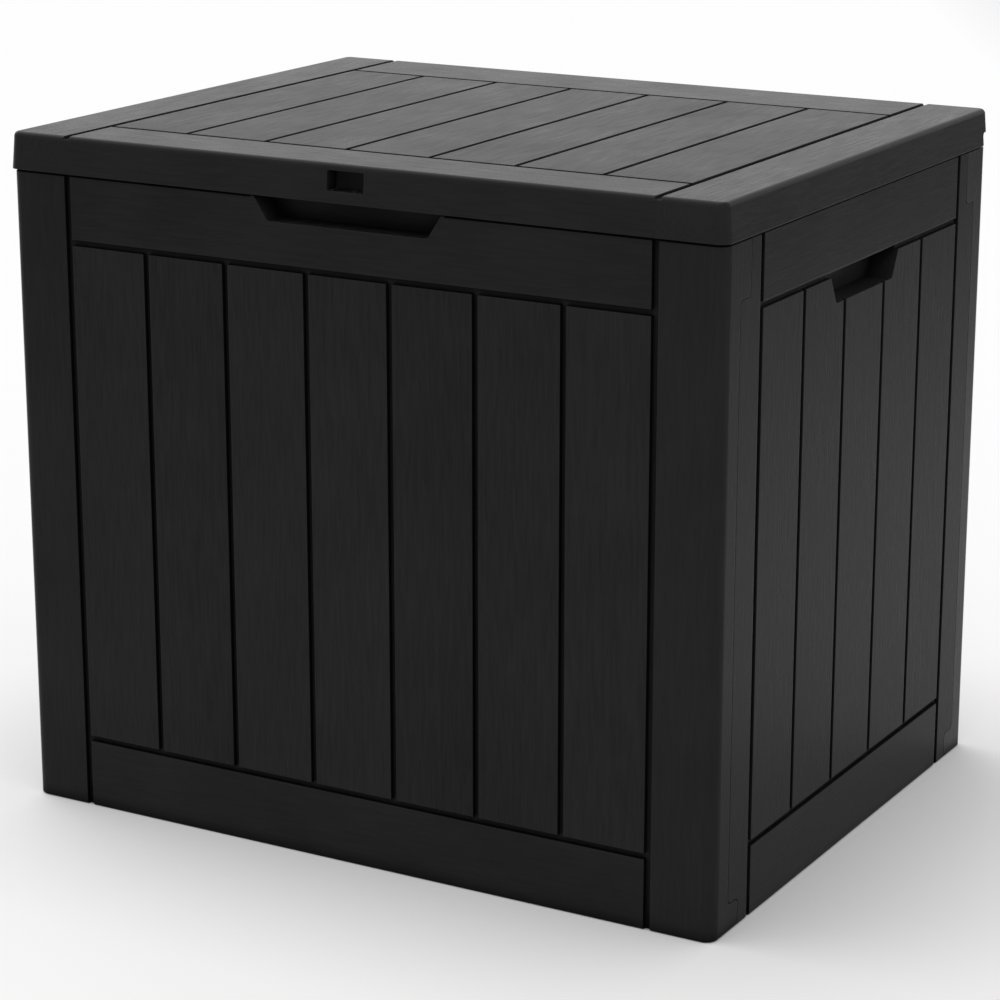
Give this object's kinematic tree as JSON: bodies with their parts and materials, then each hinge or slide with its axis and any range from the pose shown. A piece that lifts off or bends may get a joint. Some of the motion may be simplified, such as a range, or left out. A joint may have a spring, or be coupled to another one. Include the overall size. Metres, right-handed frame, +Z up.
{
  "type": "deck storage box",
  "caption": "Resin deck storage chest with plank-patterned walls, a hinged overlapping lid, recessed hand-holds and a padlock window in the lid skirt.",
  "frame": {"origin": "on the ground below the middle of the box", "axes": "+Z up, +X along the width to the right as seen from the front, the front faces -Y"},
  "size_m": [0.568, 0.4482, 0.502],
  "materials": {
    "wall_resin": "matte moulded resin with a fine wood grain",
    "lid_resin": "matte moulded resin with a fine wood grain",
    "fitting_resin": "plain satin moulded resin",
    "steel": "zinc-plated steel"
  },
  "bodies": {
    "body": {"front_panel": "wall_resin", "back_panel": "wall_resin", "left_side_panel": "wall_resin", "right_side_panel": "wall_resin", "floor_panel": "wall_resin", "lock_staple": "fitting_resin", "hinge_pin_left": "steel", "hinge_pin_right": "steel", "hinge_pin_clips": "steel", "lock_staple_screws": "steel", "corner_screws": "steel", "floor_screws": "steel"},
    "lid": {"lid": "lid_resin"}
  },
  "joints": [
    {"name": "lid_hinge", "type": "hinge", "parent": "body", "child": "lid", "pos_m": [0, 0.218, 0.4779], "axis": [-1, 0, 0], "range_deg": [0, 105]}
  ]
}
